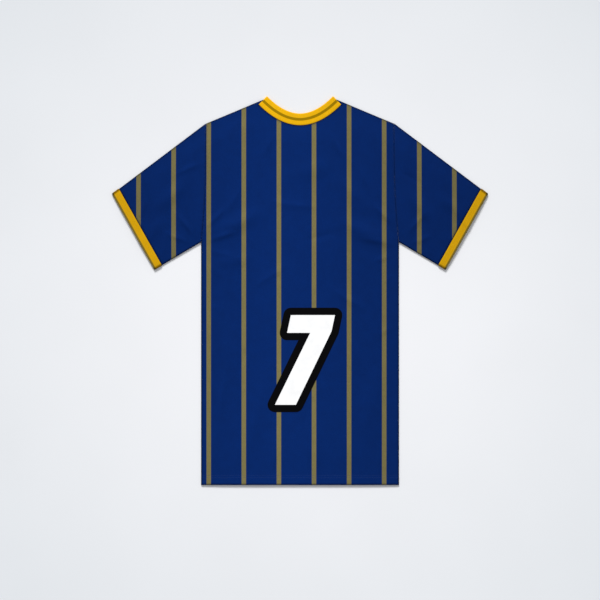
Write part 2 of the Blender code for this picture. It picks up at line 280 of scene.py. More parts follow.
class Shader:
    """Builds one material's node tree, a node at a time."""

    def __init__(self, name):
        self.material = bpy.data.materials.new(name)
        self.material.use_nodes = True
        self.tree = self.material.node_tree
        self.surface = self.tree.nodes["Principled BSDF"]

    def add(self, kind, *values, **settings):
        node = self.tree.nodes.new(kind)
        for key, value in settings.items():
            setattr(node, key, value)
        for socket, value in zip(node.inputs, values):
            self.put(socket, value)
        return node.outputs[0]

    def put(self, socket, value):
        if isinstance(value, bpy.types.NodeSocket):
            self.tree.links.new(value, socket)
        else:
            socket.default_value = value

    def math(self, operation, *values):
        return self.add("ShaderNodeMath", *values, operation=operation)

    def soft_band(self, distance, half, soft):
        """One inside a distance of half, falling softly to nought outside it."""
        return self.add("ShaderNodeMapRange", distance, half - soft, half + soft, 1.0, 0.0,
                        interpolation_type="SMOOTHSTEP")

    def noise(self, place, scale, detail):
        node = self.tree.nodes.new("ShaderNodeTexNoise")
        self.put(node.inputs["Vector"], place)
        node.inputs["Scale"].default_value = scale
        node.inputs["Detail"].default_value = detail
        return node.outputs["Fac"]

    def spread(self, noise, low, high):
        """A value that follows a noise from low to high."""
        return self.add("ShaderNodeMapRange", noise, *NOISE_RANGE, low, high)

    def axes(self, place):
        node = self.tree.nodes.new("ShaderNodeSeparateXYZ")
        self.put(node.inputs[0], place)
        return node.outputs

    def blend(self, share, first, second, kind="MIX"):
        node = self.tree.nodes.new("ShaderNodeMix")
        node.data_type = "RGBA"
        node.blend_type = kind
        self.put(node.inputs["Factor"], share)
        self.put(node.inputs["A"], first)
        self.put(node.inputs["B"], second)
        return node.outputs["Result"]

    def painted_shade_factor(self):
        """Painted shade: one on open cloth, falling to darker beside seams, edges and folds, where the rolled
        edges lie in shade.
        """
        painted_shade = self.tree.nodes.new("ShaderNodeAttribute")
        painted_shade.attribute_name = "painted_seam_shade"
        return self.add("ShaderNodeMapRange", painted_shade.outputs["Fac"], 0.0, 1.0, 1.0, PAINTED_SHADE_DARK)

    def painted_light_falloff(self):
        """Painted light falloff: one where the shirt is lit most, a little left of the middle, darker evenly
        towards both cuffs.
        """
        x = self.axes(self.tree.nodes.new("ShaderNodeTexCoord").outputs["Object"])[0]
        away = self.math("ABSOLUTE", self.math("SUBTRACT", x, LIT_MIDDLE_X))
        return self.math("MULTIPLY_ADD", away, -PAINTED_LIGHT_FALL, 1.0)

    def bump(self, height, distance):
        node = self.tree.nodes.new("ShaderNodeBump")
        node.inputs["Strength"].default_value = 1.0
        node.inputs["Distance"].default_value = distance
        self.put(node.inputs["Height"], height)
        self.put(self.surface.inputs["Normal"], node.outputs["Normal"])

    def finish(self, **values):
        """Sets or links the surface's own sockets, named with _ for a space, and gives the material."""
        for key, value in values.items():
            self.put(self.surface.inputs[key.replace("_", " ")], value)
        return self.material


def knit_height(shader, across, along):
    """Height of plain knitting: columns of V-shaped loops, each loop one wale wide and one course high."""
    column = shader.math("PINGPONG", across, WALE / 2)
    slanted = shader.math("MULTIPLY_ADD", column, LOOP_SLANT, along)
    loop = shader.math("SINE", shader.math("MULTIPLY", slanted, 2 * math.pi / COURSE))
    crown = shader.math("SINE", shader.math("MULTIPLY", column, 2 * math.pi / WALE))
    return shader.math("MULTIPLY", shader.math("MULTIPLY_ADD", loop, LOOP_SHARE, 1.0 - LOOP_SHARE), crown)


def toned(colour, tone):
    return tuple(tone * c for c in colour[:3]) + (1.0,)


def jersey_material():
    """Striped jersey: knitted loops, stripes at an even pitch across X, a little unevenness of dye."""
    shader = Shader("striped_jersey")
    place = shader.tree.nodes.new("ShaderNodeTexCoord").outputs["Object"]
    x, y = shader.axes(place)[:2]
    loops = knit_height(shader, x, y)
    jagged = shader.math("MULTIPLY_ADD", loops, STRIPE_JAG, x)
    from_stripe = shader.math("PINGPONG", shader.math("SUBTRACT", jagged, STRIPE_X), STRIPE_PITCH / 2)
    stripe = shader.soft_band(from_stripe, STRIPE_WIDTH / 2, STRIPE_SOFT)
    mottle = shader.noise(place, scale=55.0, detail=3.0)
    fibre = shader.noise(place, scale=900.0, detail=2.0)
    navy = shader.blend(mottle, JERSEY_NAVY, toned(JERSEY_NAVY, NAVY_MOTTLE))
    gold = shader.blend(mottle, STRIPE_GOLD, toned(STRIPE_GOLD, GOLD_MOTTLE))
    colour = shader.blend(stripe, navy, gold)
    colour = shader.blend(1.0, colour, shader.spread(fibre, 0.86, 1.10), "MULTIPLY")
    # Painted shade along seams, edges and folds, times the painted light falloff across the shirt
    tone = shader.math("MULTIPLY", shader.painted_shade_factor(), shader.painted_light_falloff())
    colour = shader.blend(1.0, colour, tone, "MULTIPLY")
    shader.bump(shader.math("MULTIPLY_ADD", fibre, 0.35, loops), distance=0.00016)
    return shader.finish(
        Base_Color=colour, Roughness=shader.spread(mottle, 0.70, 0.82),
        Specular_IOR_Level=0.07, Specular_Tint=(0.25, 0.45, 1.0, 1.0),
        Sheen_Weight=0.03, Sheen_Roughness=0.45, Sheen_Tint=(0.2, 0.4, 1.0, 1.0))


JERSEY = jersey_material()

# A soft fold: x and y of its middle, turn from +X in degrees, length, width, rise, and bend, which is how far
# it would stray sideways a metre from its middle. A negative rise is a trough.
Fold = namedtuple("Fold", "x y turn length width rise bend")

# Shallow hollows where the lower layer arches off the table
FRONT_HOLLOWS = (
    Fold(-0.118, 0.118, 28, 0.150, 0.015, 0.00035, 0.8),
    Fold(0.126, 0.132, 152, 0.140, 0.014, 0.00030, -0.7),
    Fold(-0.070, -0.240, 86, 0.260, 0.020, 0.00030, 0.4),
    Fold(0.058, -0.300, 95, 0.170, 0.017, 0.00022, -0.5),
    Fold(0.140, -0.140, 79, 0.210, 0.019, 0.00028, 0.4),
    Fold(0.000, 0.190, 5, 0.180, 0.018, 0.00024, -0.6),
)


def creases(folds, x, y, crest=2.0):
    """Sum of soft ridges, each fading out towards its ends; a lower crest makes them sharper."""
    total = np.zeros_like(x)
    for fold in folds:
        turn = math.radians(fold.turn)
        away_x = x - fold.x
        away_y = y - fold.y
        along = away_x * math.cos(turn) + away_y * math.sin(turn)
        across = away_y * math.cos(turn) - away_x * math.sin(turn) - fold.bend * along ** 2
        fade = 1.0 - smooth_step(0.0, fold.length / 2, np.abs(along))
        total = total + fold.rise * fade * np.exp(-np.abs(across / fold.width) ** crest)
    return total


def front_height(x, y):
    """Height of the lower layer's underside over the table, grooved where its hem's needle rows lie."""
    needles = (HEM_DEPTH, HEM_DEPTH - TWIN_GAP)
    groove = sum(np.exp(-((y - HEM_Y - row) / HEM_GROOVE_REACH) ** 2) for row in needles)
    inside = smooth_step(0.0, SIDE_FLAT, side_x(y) - np.abs(x))
    return inside * (creases(FRONT_HOLLOWS, x, y) + HEM_GROOVE * groove)


plan = panel_plan(FRONT_NECK, FRONT_CELLS)
height = CLOTH + front_height(plan[..., 0], plan[..., 1])
painted_shade = panel_painted_shade(FRONT_NECK, plan[..., 0], plan[..., 1])
front = cloth_object("front_cloth", np.dstack((plan, height)), painted_shade)
give_thickness(front, CLOTH)
front.data.materials.append(JERSEY)
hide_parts("front_panel")
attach(front, "root")


# Back panel
# The half of the body that shows, laid over the front and sewn to it at the shoulders and sides.
# It lies loose, with soft folds from the armholes and up from the hem, as light jersey does.

LAYER = WALL + SEAM
LOFT = 0.0024
HEM_OPEN = 0.35
HEM_REACH = 0.070
HEM_RAISE = 0.00035
HEM_STEP = (HEM_DEPTH - 0.002, HEM_DEPTH + 0.001)
SHOULDER_REACH = 0.050
SIDE_BEND = 6
UNDERARM_BELOW = 0.020
UNDERARM_ABOVE = 0.055
NECK_OVAL = (0.088, 0.062)
NECK_REACH = 1.6
NECK_RISE = 0.0012
SAG_DEPTH = 0.0014
SAG_ACROSS = 0.024
SAG_DOWN = 0.012
SEAM_DIP = 0.0005
SEAM_DIP_REACH = 0.0022
EDGE_ROLL = 0.0007
EDGE_ROLL_REACH = 0.0020
PUCKER = 0.00018
PUCKER_PITCH = 0.011
PUCKER_REACH = 0.006
PUCKER_WANDER = 1.7
PUCKER_WANDER_PITCH = 0.037
SIDE_PUCKER_PITCH = 0.013
ARMHOLE_START = 0.02
HEM_DIP = 0.6
OPEN_EDGE_ROLL = 0.6
CREASE_CREST = 1.5
BACK_CELLS = {"neck": 34, "shoulder": 34, "below": 132, "above": 78, "strip": 3, "edge": 8}

# The main folds, as in the solid
BACK_RIDGES = (
    Fold(-0.128, 0.138, 24, 0.170, 0.015, 0.0030, 0.9),
    Fold(-0.140, 0.062, 8, 0.120, 0.013, 0.0019, -0.8),
    Fold(0.137, 0.118, 158, 0.150, 0.015, 0.0034, -1.0),
    Fold(0.112, 0.196, 131, 0.130, 0.016, 0.0022, 0.7),
    Fold(-0.094, -0.262, 83, 0.240, 0.018, 0.0027, 0.35),
    Fold(0.031, -0.316, 96, 0.180, 0.016, 0.0019, -0.5),
    Fold(0.148, -0.232, 78, 0.260, 0.019, 0.0029, -0.4),
    Fold(-0.158, -0.104, 104, 0.170, 0.015, 0.0018, 0.6),
    Fold(0.020, 0.248, 12, 0.150, 0.018, 0.0016, -0.5),
    Fold(-0.262, 0.196, 42, 0.130, 0.014, 0.0026, 1.0),
    Fold(-0.300, 0.124, 57, 0.090, 0.012, 0.0018, -1.2),
    Fold(0.248, 0.171, 128, 0.120, 0.014, 0.0028, -1.1),
    Fold(0.309, 0.176, 145, 0.090, 0.012, 0.0020, 1.2),
)

# Small creases between the folds
BACK_CREASES = (
    Fold(-0.172, 0.150, 47, 0.080, 0.0060, 0.0022, 1.5),
    Fold(-0.160, 0.112, 18, 0.090, 0.0055, 0.0023, -1.2),
    Fold(-0.168, 0.078, -14, 0.072, 0.0050, 0.0018, 1.0),
    Fold(-0.176, 0.040, -38, 0.058, 0.0050, 0.0012, -1.5),
    Fold(-0.136, 0.186, 61, 0.096, 0.0065, 0.0014, 0.8),
    Fold(0.169, 0.158, 134, 0.074, 0.0060, 0.0023, -1.4),
    Fold(0.158, 0.102, 169, 0.096, 0.0055, 0.0020, 1.1),
    Fold(0.171, 0.066, 197, 0.066, 0.0050, 0.0019, -1.2),
    Fold(0.180, 0.024, 222, 0.052, 0.0050, 0.0011, 1.6),
    Fold(0.128, 0.236, 112, 0.088, 0.0065, 0.0013, -0.9),
    Fold(-0.064, 0.300, 66, 0.070, 0.0060, 0.0013, 1.1),
    Fold(0.078, 0.294, 116, 0.078, 0.0060, 0.0018, -1.0),
    Fold(-0.012, 0.176, -7, 0.130, 0.0075, 0.0013, 0.6),
    Fold(0.046, 0.112, 14, 0.100, 0.0070, -0.0011, -0.8),
    Fold(-0.060, 0.030, 34, 0.110, 0.0070, 0.0014, 0.8),
    Fold(0.098, -0.018, 148, 0.120, 0.0070, 0.0018, -0.7),
    Fold(-0.176, -0.036, 158, 0.060, 0.0055, 0.0013, 1.3),
    Fold(0.178, -0.082, 24, 0.058, 0.0055, 0.0014, -1.3),
    Fold(-0.110, -0.128, 71, 0.130, 0.0070, -0.0012, 0.6),
    Fold(0.112, -0.120, 103, 0.140, 0.0070, 0.0018, 0.5),
    Fold(-0.160, -0.212, 84, 0.120, 0.0060, 0.0019, -0.9),
    Fold(-0.052, -0.330, 87, 0.120, 0.0065, 0.0019, 0.7),
    Fold(0.092, -0.326, 94, 0.125, 0.0065, 0.0018, -0.8),
    Fold(0.180, -0.322, 82, 0.100, 0.0055, 0.0014, 1.0),
    Fold(-0.172, -0.330, 98, 0.110, 0.0060, 0.0019, -0.9),
    Fold(0.012, -0.262, 79, 0.100, 0.0070, -0.0011, 0.6),
    Fold(-0.236, 0.136, 128, 0.090, 0.0055, 0.0022, 1.2),
    Fold(-0.252, 0.108, 158, 0.080, 0.0055, 0.0018, -1.2),
    Fold(-0.322, 0.170, 70, 0.070, 0.0055, 0.0014, 1.5),
    Fold(-0.232, 0.250, 24, 0.085, 0.0060, 0.0014, -1.0),
    Fold(0.240, 0.140, 50, 0.085, 0.0055, 0.0020, -1.3),
    Fold(0.250, 0.104, 24, 0.078, 0.0055, 0.0018, 1.2),
    Fold(0.330, 0.150, 112, 0.066, 0.0055, 0.0014, -1.4),
    Fold(0.228, 0.232, 150, 0.080, 0.0060, -0.0011, 1.0),
)


def away_from_neck(x, y):
    return smooth_step(1.0, NECK_REACH, np.hypot(x / NECK_OVAL[0], (y - HALF_LENGTH) / NECK_OVAL[1]))


def body_fullness(x, y):
    """Nought where the two layers meet at a seam, one where the upper layer lies loose."""
    share = np.minimum(1.0, np.abs(x) / side_x(y))
    seam_side = 1.0 - smooth_step(UNDERARM_Y - UNDERARM_BELOW, UNDERARM_Y + UNDERARM_ABOVE, y)
    sides = 1.0 - seam_side * share ** SIDE_BEND
    hem = mix(HEM_OPEN, 1.0, smooth_step(0.0, HEM_REACH, y - HEM_Y))
    shoulder = smooth_step(0.0, SHOULDER_REACH, shoulder_y(x) - y)
    return sides * hem * shoulder * away_from_neck(x, y)


def loose_height(x, y):
    """How far loose cloth rises over the seams' height, folds and creases included."""
    return LOFT + creases(BACK_RIDGES, x, y) + creases(BACK_CREASES, x, y, CREASE_CREST)


def hem_turning(y):
    """The hem's turned-up allowance: a little thicker below its stitching."""
    return HEM_RAISE * (1.0 - smooth_step(*HEM_STEP, y - HEM_Y))


def seam_dip(distance, run):
    """The groove of a seam and the puckers beside it, at a distance from it and a place along it."""
    wander = PUCKER_WANDER * np.sin(run * 2 * math.pi / PUCKER_WANDER_PITCH)
    puckers = PUCKER * np.sin(run * 2 * math.pi / PUCKER_PITCH + wander)
    groove = SEAM_DIP * np.exp(-(distance / SEAM_DIP_REACH) ** 2)
    return puckers * np.exp(-(distance / PUCKER_REACH) ** 2) - groove


def back_height(x, y):
    """Height of the back's outer face over the table. Its edges roll down to the front's at the seams."""
    seam_y = NECK_FOLD[1] - BACK_DROP - COLLAR_WIDTH / 2
    sag = SAG_DEPTH * np.exp(-(x / SAG_ACROSS) ** 2 - ((y - seam_y) / SAG_DOWN) ** 2)
    loose = body_fullness(x, y) * loose_height(x, y)
    from_side = side_x(y) - np.abs(x)
    at_armhole = smooth_step(UNDERARM_Y, UNDERARM_Y + ARMHOLE_START, y)
    hem_dip = HEM_DIP * seam_dip(y - HEM_Y - HEM_DEPTH + TWIN_GAP / 2, x)
    dips = at_armhole * seam_dip(from_side, y) + hem_dip
    neck = NECK_RISE * (1.0 - away_from_neck(x, y))
    shoulder = (shoulder_y(x) - y) * math.cos(SHOULDER_SLOPE)
    edges = (
        (from_side, 1.0 - at_armhole),
        (shoulder, 1.0),
        (y - HEM_Y, OPEN_EDGE_ROLL),
        (neck_distance(BACK_NECK, x, y), OPEN_EDGE_ROLL),
    )
    roll = sum(share * np.exp(-(distance / EDGE_ROLL_REACH) ** 2) for distance, share in edges)
    roll = np.minimum(roll, 1.0)
    side_puckers = PUCKER * np.sin(y * 2 * math.pi / SIDE_PUCKER_PITCH)
    side_puckers = side_puckers * np.exp(-(from_side / PUCKER_REACH) ** 2) * (1.0 - at_armhole)
    flat = LAYER + WALL + loose + neck - sag + hem_turning(y) + side_puckers
    return flat + mix(dips, -EDGE_ROLL, roll)


plan = panel_plan(BACK_NECK, BACK_CELLS)
painted_shade = panel_painted_shade(BACK_NECK, plan[..., 0], plan[..., 1])
back = cloth_object("back_cloth", np.dstack((plan, back_height(plan[..., 0], plan[..., 1]))), painted_shade)
give_thickness(back, CLOTH)
back.data.materials.append(JERSEY)
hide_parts("back_panel")
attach(back, "root")


# Sleeves
# Each is one piece of the same jersey, folded along the top and closed by a seam under the arm.
# It lies flat as a tube of two layers, set into the armhole; its stripes run the same way as the body's.

sleeve_low, sleeve_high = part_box("sleeve_right")
SLEEVE_TOP = np.array((sleeve_high.x, 0.2095))
SLEEVE_FOOT = np.array((0.2840, sleeve_low.y))
CUFF_LOFT = 0.8
CUFF_BEND = 4
SLEEVE_CELLS = {"along": 62, "across": 84, "fold": 6, "edge": 6}
SLEEVE_CROWDED = 0.09
FOLD_CLEAR = 0.0006
FOLD_CLEAR_REACH = 0.008
FOLD_EASE = 12.0


def tube_shares(size, bend, cells):
    """Places across a flattened tube from 0 to 1 and back: its lower layer, a fold, its upper layer, a fold.
    Returns the share across and the height between the layers, from -1 to 1."""
    flat = np.linspace(bend / size, 1.0 - bend / size, cells["across"] + 1)
    turn = np.linspace(-math.pi / 2, math.pi / 2, cells["fold"] + 1)[1:-1]
    far = 1.0 - bend / size * (1.0 - np.cos(turn))
    near = bend / size * (1.0 - np.cos(turn))
    shares = np.concatenate((flat, far, flat[::-1], near[::-1]))
    rise = np.sin(turn)
    level = np.concatenate((np.full(len(flat), -1.0), rise, np.full(len(flat), 1.0), rise[::-1]))
    return shares, level


def sleeve_place(along, across):
    seam_y = mix(SHOULDER_Y, UNDERARM_Y, across)
    seam = SEAM + FOLD_CLEAR * np.exp(-(across / FOLD_CLEAR_REACH) ** 2)
    armhole = np.stack((side_x(seam_y) + seam, seam_y), axis=-1)
    cuff = mix(SLEEVE_TOP, SLEEVE_FOOT, across[:, None])
    return mix(armhole, cuff, along)


def sleeve_fullness(along, across):
    seam_y = mix(SHOULDER_Y, UNDERARM_Y, across)
    at_armhole = body_fullness(side_x(seam_y), seam_y)
    at_cuff = CUFF_LOFT * (1.0 - (2.0 * across - 1.0) ** CUFF_BEND)
    return mix(at_armhole, at_cuff, smooth_step(0.0, 1.0, along))


def sleeve_points(side):
    """Rings of points round a sleeve's skin, and the painted shade beside its seams and edges there."""
    rings = []
    painted_shades = []
    half_way = fine_at_end(SLEEVE_CELLS["along"] // 2, SLEEVE_CROWDED, SLEEVE_CELLS["edge"]) / 2
    for along in np.concatenate((0.5 - half_way[::-1], 0.5 + half_way[1:])):
        ends = sleeve_place(along, np.array((0.0, 1.0)))
        size = np.linalg.norm(ends[1] - ends[0])
        across, level = tube_shares(size, (LAYER + WALL) / 2, SLEEVE_CELLS)
        place = sleeve_place(along, across)
        x, y = side * place[:, 0], place[:, 1]
        top = LAYER + WALL + sleeve_fullness(along, across) * loose_height(x, y)
        run = np.linalg.norm(sleeve_place(1.0, across) - sleeve_place(0.0, across), axis=1)
        inner = np.clip(np.minimum(across, 1.0 - across) * FOLD_EASE, 0.0, 1.0)
        top = top + inner * (seam_dip(along * run, y) + seam_dip((1.0 - along) * run, across * size))
        middle = (LAYER + WALL) / 2
        z = np.where(level > 0, middle + level * (top - middle), middle * (1.0 + level))
        rings.append(np.column_stack((x, y, z)))
        closed = painted_shade_falloff(np.minimum((1.0 - along) * run, np.minimum(across, 1.0 - across) * size))
        painted_shades.append(np.maximum(closed, ARMHOLE_PAINTED_SHADE * painted_shade_falloff(along * run)))
    return np.array(rings), np.array(painted_shades)


for hand, side in (("left", -1.0), ("right", 1.0)):
    rings, painted_shades = sleeve_points(side)
    sleeve = cloth_object("sleeve_cloth_" + hand, rings, painted_shades, around=True, flip=side > 0)
    give_thickness(sleeve, CLOTH)
    sleeve.data.materials.append(JERSEY)
    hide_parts("sleeve_" + hand)
    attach(sleeve, "root")


# Cuffs
# A band of gold rib round each sleeve's end, its ribs running the way the sleeve does.
# The rib is knitted double and sewn to the sleeve edge to edge. A narrow darker line at its outer edge is
# painted shade of the rolled edge, and its folded ends are painted darker too.

cuff_low, cuff_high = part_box("cuff_right")
CUFF_TOP = np.array((cuff_high.x, 0.1985))
CUFF_FOOT = np.array((0.2997, cuff_low.y))
RIB_WALL = 0.0018
RIB_PITCH = 0.0022
RIB_RAISE = 0.00022
RIB_STEPS = 4
RIB_FADE = 8
RIB_ROWS = 22
LINE_SOFT = 0.02
RIB_MOTTLE = 0.9
MERGE = 1e-7
BAND_CELLS = 9
BAND_END_CELLS = 4
CUFF_GOLD = (0.8660, 0.4700, 0.0050, 1.0)
# Painted shade of the cuff's rolled outer edge: its colour, and the share of the band's width where it starts
CUFF_EDGE_SHADE = (0.2550, 0.1810, 0.0270, 1.0)
CUFF_EDGE_SHADE_START = 0.77
CUFF_FOLD_SHADE_REACH = 0.0040
CUFF_FOLD_SHADE_CREST = 4
CUFF_FOLD_CELLS = 8


def band_section():
    """Half-width and depth shares round a band's cut end: two flat faces joined by round edges."""
    flat = np.linspace(-1.0, 1.0, BAND_CELLS + 1)
    turn = np.linspace(0.0, math.pi, BAND_END_CELLS + 1)[1:-1]
    wide = np.concatenate((flat, np.full(len(turn), 1.0), flat[::-1], np.full(len(turn), -1.0)))
    deep = np.concatenate((np.full(len(flat), -1.0), -np.cos(turn), np.full(len(flat), 1.0), np.cos(turn)))
    bulge = np.concatenate((np.zeros(len(flat)), np.sin(turn), np.zeros(len(flat)), -np.sin(turn)))
    return wide, deep, bulge


def band_object(name, inner, outer, thick, wall, rib_phase, painted_shade):
    """A closed ribbon of rib between two edges, with raised ribs across it and a UV map: along, across."""
    wide, deep, bulge = band_section()
    half = wall / 2
    relief = RIB_RAISE * np.cos(rib_phase)[:, None, None]
    across = outer - inner
    length = np.linalg.norm(across, axis=1)[:, None]
    across = across / length
    centre = (inner + outer) / 2
    reach = (length / 2 - half) * wide[None, :] + half * bulge[None, :]
    lift = half * deep[None, :, None] * thick[:, None, :]
    on_face = (np.abs(deep) * (1.0 - np.abs(wide) ** RIB_FADE))[None, :, None]
    ribs = relief * np.sign(deep)[None, :, None] * thick[:, None, :] * on_face
    points = centre[:, None, :] + reach[..., None] * across[:, None, :] + lift + ribs
    points[..., 2] = np.maximum(points[..., 2], 0.0)
    count = len(points)
    points = np.concatenate((points, points[:1]))
    painted_shades = np.repeat(np.append(painted_shade, painted_shade[0])[:, None], len(wide), axis=1)
    piece = cloth_object(name, points, painted_shades, around=True)
    width = (1.0 + (reach / (length / 2)).mean(axis=0)) / 2
    rows = np.arange(count + 1) / count
    uv = np.stack(np.broadcast_arrays(rows[:, None], width[None, :]), axis=-1).reshape(-1, 2)
    layer = piece.data.uv_layers.new(name="band")
    corners = np.empty(len(piece.data.loops), dtype=np.int32)
    piece.data.loops.foreach_get("vertex_index", corners)
    layer.data.foreach_set("uv", uv[corners].ravel())
    shell = bmesh.new()
    shell.from_mesh(piece.data)
    bmesh.ops.remove_doubles(shell, verts=shell.verts, dist=MERGE)
    bmesh.ops.recalc_face_normals(shell, faces=shell.faces)
    shell.to_mesh(piece.data)
    shell.free()
    return piece


def rib_material(name, gold, line, middle, half):
    """Gold rib with a darker line across a share of the band's width: knitted along the collar's middle,
    painted shade of the rolled outer edge on the cuffs.
    """
    shader = Shader(name)
    coordinates = shader.tree.nodes.new("ShaderNodeTexCoord")
    place = coordinates.outputs["Object"]
    across = shader.axes(coordinates.outputs["UV"])[1]
    fibre = shader.noise(place, scale=1100.0, detail=3.0)
    mottle = shader.noise(place, scale=70.0, detail=2.0)
    off_line = shader.math("ABSOLUTE", shader.math("SUBTRACT", across, middle))
    knit_line_and_edge_shade = shader.soft_band(off_line, half, LINE_SOFT)
    plain = shader.blend(mottle, gold, toned(gold, RIB_MOTTLE))
    colour = shader.blend(knit_line_and_edge_shade, plain, line)
    colour = shader.blend(1.0, colour, shader.spread(fibre, 0.88, 1.08), "MULTIPLY")
    # Painted shade along seams, edges and folds, times the painted light falloff across the shirt
    tone = shader.math("MULTIPLY", shader.painted_shade_factor(), shader.painted_light_falloff())
    colour = shader.blend(1.0, colour, tone, "MULTIPLY")
    rows = shader.math("SINE", shader.math("MULTIPLY", across, 2 * math.pi * RIB_ROWS))
    shader.bump(shader.math("MULTIPLY_ADD", fibre, 0.6, shader.math("MULTIPLY", rows, 0.4)), distance=0.00012)
    return shader.finish(
        Base_Color=colour, Roughness=0.8,
        Specular_IOR_Level=0.1, Specular_Tint=(1.0, 0.75, 0.3, 1.0),
        Sheen_Weight=0.04, Sheen_Roughness=0.5, Sheen_Tint=(1.0, 0.75, 0.3, 1.0))


def cuff_edges(side):
    """Both edges and the face direction round a cuff, the place in its ribs, and the painted shade at its
    folded ends.
    """
    around = 2 * np.linalg.norm(SLEEVE_FOOT - SLEEVE_TOP)
    count = int(around / RIB_PITCH) * RIB_STEPS
    bend = (2 * RIB_WALL + SEAM - RIB_WALL) / 2
    cells = {"across": count // 2, "fold": CUFF_FOLD_CELLS}
    shares, level = tube_shares(around / 2, bend, cells)
    inner = mix(SLEEVE_TOP, SLEEVE_FOOT, shares[:, None])
    outer = mix(CUFF_TOP, CUFF_FOOT, shares[:, None])
    gap = SEAM / np.linalg.norm(outer - inner, axis=1)[:, None]
    inner = mix(inner, outer, gap)
    loose = sleeve_fullness(1.0, shares) * loose_height(side * inner[:, 0], inner[:, 1])
    low = RIB_WALL / 2
    high = 2 * RIB_WALL + SEAM - RIB_WALL / 2 + loose
    z = mix(low, high, (level + 1.0) / 2)
    along = (SLEEVE_FOOT - SLEEVE_TOP) / np.linalg.norm(SLEEVE_FOOT - SLEEVE_TOP)
    lean = np.sqrt(1.0 - level ** 2) * np.where(shares > 0.5, 1.0, -1.0)
    thick = np.column_stack((lean * along[0], lean * along[1], level))
    phase = np.arange(len(shares)) * 2 * math.pi / RIB_STEPS
    # Painted shade at the cuff's folded ends
    painted_shade = np.exp(-(np.minimum(shares, 1.0 - shares) * around / 2 / CUFF_FOLD_SHADE_REACH) ** CUFF_FOLD_SHADE_CREST)
    mirror = np.array((side, 1.0, 1.0))
    inner = np.column_stack((inner, z)) * mirror
    outer = np.column_stack((outer, z)) * mirror
    return inner, outer, thick * mirror, phase, painted_shade


CUFF_RIB = rib_material("cuff_rib", CUFF_GOLD, CUFF_EDGE_SHADE, middle=1.0, half=1.0 - CUFF_EDGE_SHADE_START)
for hand, side in (("left", -1.0), ("right", 1.0)):
    inner, outer, thick, phase, painted_shade = cuff_edges(side)
    cuff = band_object("cuff_rib_" + hand, inner, outer, thick, RIB_WALL, phase, painted_shade)
    cuff.data.materials.append(CUFF_RIB)
    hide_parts("cuff_" + hand)
    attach(cuff, "root")


# Collar
# One band of gold rib sewn round the neck, with a darker gold line knitted along its middle.
# Laid flat it folds at the two neck points: its back half lies on top, its front half deeper and below.

COLLAR_GOLD = (0.9170, 0.4950, 0.0052, 1.0)
COLLAR_LINE = (0.3490, 0.2030, 0.0010, 1.0)
COLLAR_LINE_HALF = 0.115
COLLAR_FOLD_STEPS = 10
LINE_SAMPLES = 400


def even_line(line, pitch):
    """Points and directions at an even pitch along half a neck line, from its middle to the fold."""
    shares = np.linspace(0.0, 1.0, LINE_SAMPLES)
    points = np.array([curve_at(line, share)[0] for share in shares])
    run = np.concatenate(((0.0,), np.cumsum(np.linalg.norm(np.diff(points, axis=0), axis=1))))
    count = round(run[-1] / pitch)
    even = np.interp(np.linspace(0.0, run[-1], count + 1), run, shares)
    found = [curve_at(line, share) for share in even]
    return np.array([point for point, along in found]), np.array([along for point, along in found])


def collar_edges():
    """Edges and face directions round the collar: the back from left to right, then the front back again."""
    centres = []
    outs = []
    thicks = []

    def lay(line, up, first_side):
        points, alongs = even_line(line, RIB_PITCH / RIB_STEPS)
        for side, order in ((first_side, slice(None, None, -1)), (-first_side, slice(1, None))):
            for (x, y), along in zip(points[order], alongs[order]):
                sag = SAG_DEPTH * math.exp(-(x / SAG_ACROSS) ** 2)
                z = COLLAR_WALL / 2 + (2 * COLLAR_BEND - sag if up > 0 else 0.0)
                centres.append((side * x, y, z))
                outs.append((side * along[1], -along[0], 0.0))
                thicks.append((0.0, 0.0, up))

    def turn(side, down):
        angles = np.linspace(0.0, math.pi, COLLAR_FOLD_STEPS + 1)[1:-1]
        for angle in angles if down else angles[::-1]:
            reach = COLLAR_BEND * math.sin(angle)
            x, y = NECK_FOLD + reach * NECK_OUT
            centres.append((side * x, y, COLLAR_WALL / 2 + COLLAR_BEND * (1.0 + math.cos(angle))))
            outs.append((side * NECK_ACROSS[0], NECK_ACROSS[1], 0.0))
            out_x, out_y = NECK_OUT * math.sin(angle)
            thicks.append((side * out_x, out_y, math.cos(angle)))

    lay(BACK_NECK, 1.0, -1.0)
    turn(1.0, True)
    lay(FRONT_NECK, -1.0, 1.0)
    turn(-1.0, False)
    centres, outs, thicks = (np.array(values) for values in (centres, outs, thicks))
    half = COLLAR_WIDTH / 2
    phase = np.arange(len(centres)) * 2 * math.pi / RIB_STEPS
    return centres - half * outs, centres + half * outs, thicks, phase


inner, outer, thick, phase = collar_edges()
collar = band_object("collar_rib", inner, outer, thick, COLLAR_WALL, phase, np.zeros(len(phase)))
COLLAR_RIB = rib_material("collar_rib", COLLAR_GOLD, COLLAR_LINE, middle=0.5, half=COLLAR_LINE_HALF)
collar.data.materials.append(COLLAR_RIB)
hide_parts("collar")
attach(collar, "root")


# Number
# A squad number on the back, as tall as a hand: white film on a wider black one with rounded corners.
# Both films are cut from thin sheet and pressed on hot, so they follow the jersey and its knit shows through.

NUMBER_TOP_Y = -0.0504
NUMBER_HEIGHT = 0.1844
BAR_DEPTH = 0.0365
BAR_LEFT_X = -0.0188
BAR_RIGHT_X = 0.0719
BAR_SLANT = 0.0078
KNEE_RISE = 0.0032
LEG_TOP_X = 0.0209
LEG_FOOT_X = -0.0516
LEG_WIDTH = 0.0432
BORDER = 0.0151
BORDER_ARC_STEPS = 7
FILM = 0.00022
FILM_LIFT = 0.00006
FILM_GAP = 0.00003
FILM_CELL = 0.0032
WHITE_FILM = (0.955, 0.955, 0.955, 1.0)
BLACK_FILM = (0.0016, 0.0016, 0.0020, 1.0)


